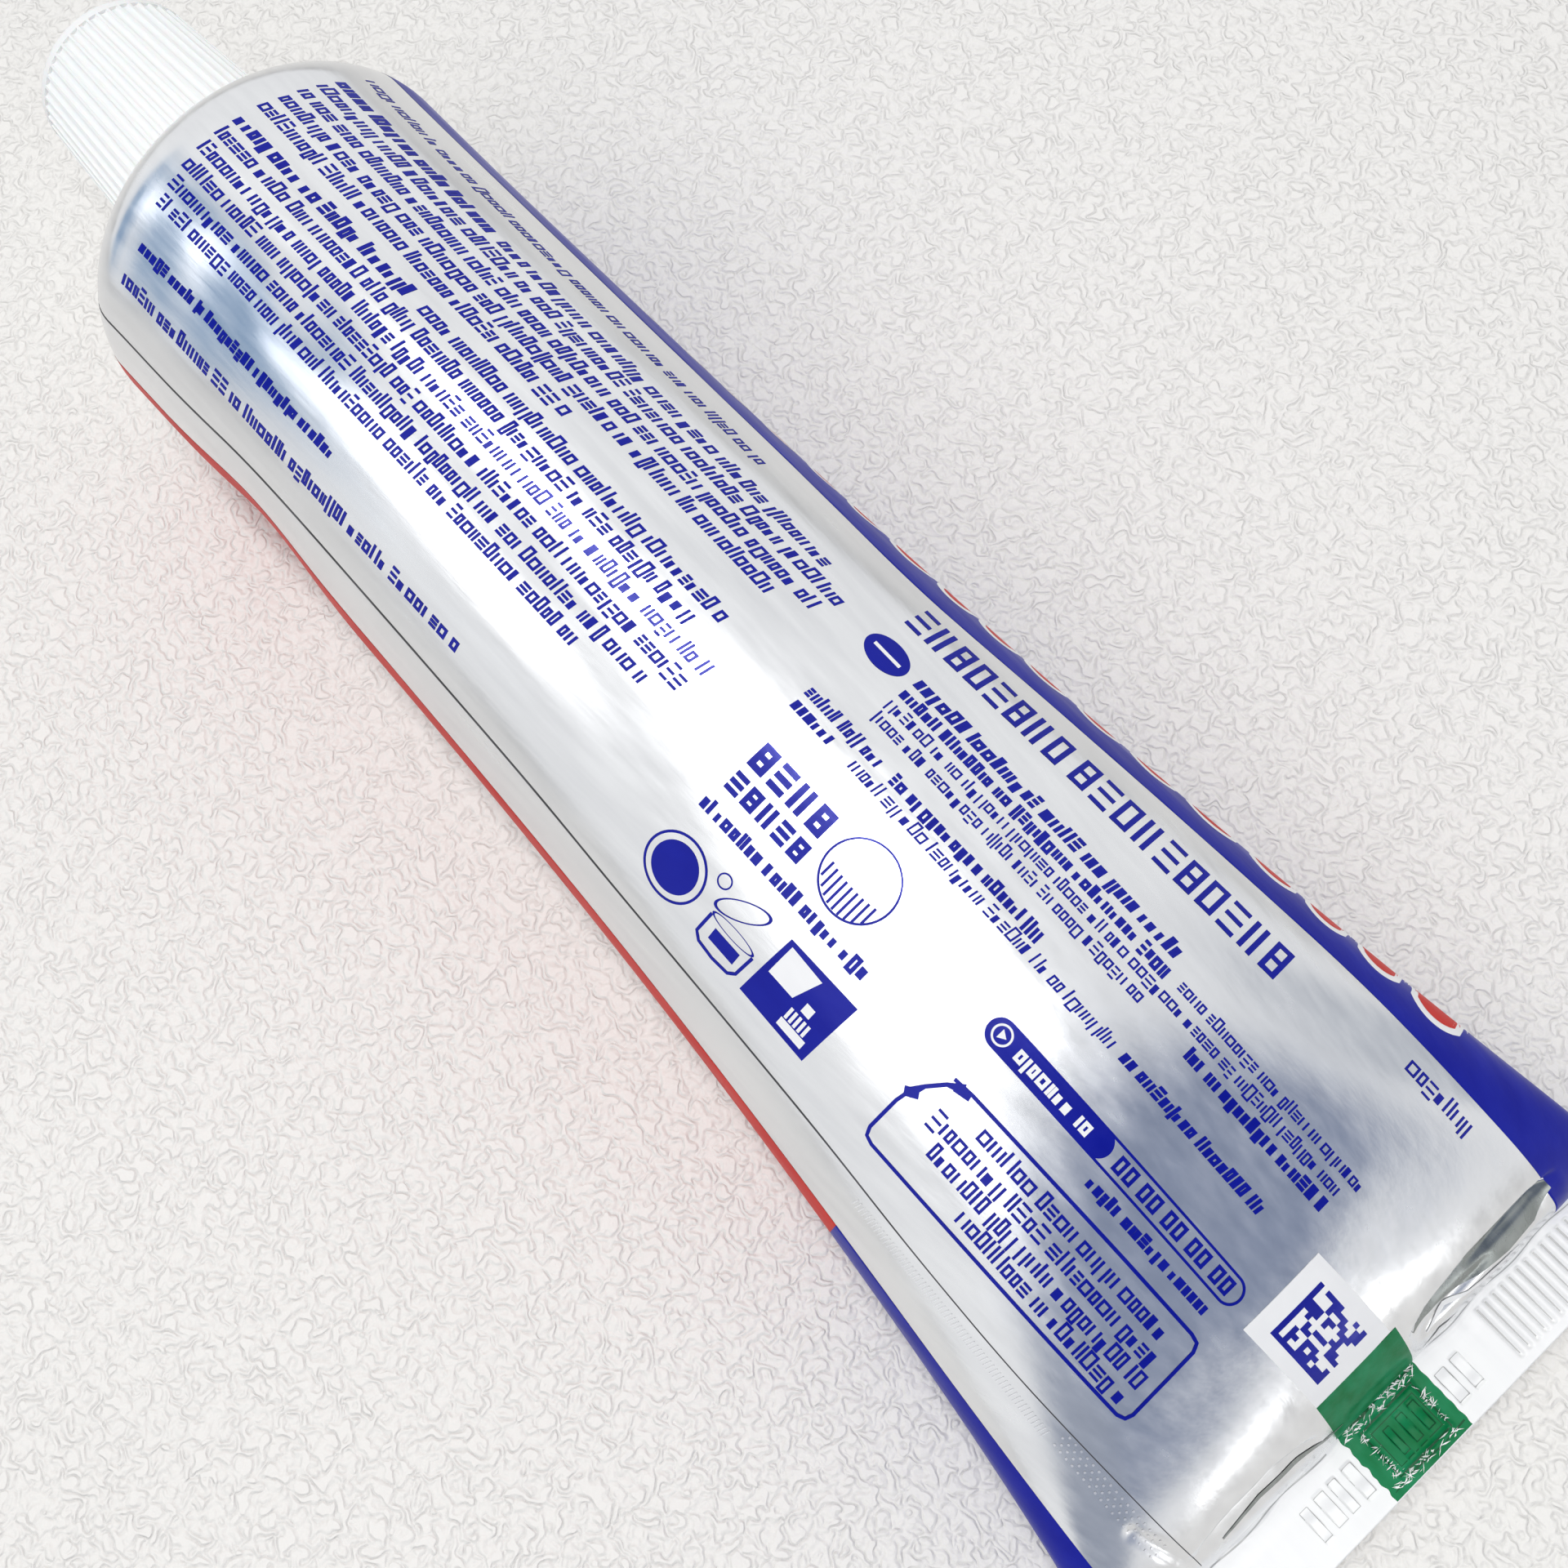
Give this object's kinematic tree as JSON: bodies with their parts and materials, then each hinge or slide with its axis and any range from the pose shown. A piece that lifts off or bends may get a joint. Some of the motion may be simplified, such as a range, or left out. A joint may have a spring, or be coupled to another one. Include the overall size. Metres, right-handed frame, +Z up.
{
  "type": "toothpaste tube",
  "caption": "Full laminate squeeze tube with a round shoulder end, a ribbed screw cap and a flat end seal, lying with its back up.",
  "frame": {"origin": "on the table, under the middle of the whole tube, cap included", "axes": "+X along the tube from the cap to the end seal, +Z up through the tube's back"},
  "size_m": [0.1602, 0.055, 0.0349],
  "materials": {
    "laminate": "satin metallic",
    "nozzle_plastic": "satin",
    "cap_plastic": "satin"
  },
  "bodies": {
    "tube": {"tube_body": "laminate", "shoulder_nozzle": "nozzle_plastic"},
    "cap": {"screw_cap": "cap_plastic"}
  },
  "joints": [
    {"name": "cap_off", "type": "slide", "parent": "tube", "child": "cap", "axis": [-1, 0, 0], "range_m": [0, 0.03]}
  ]
}
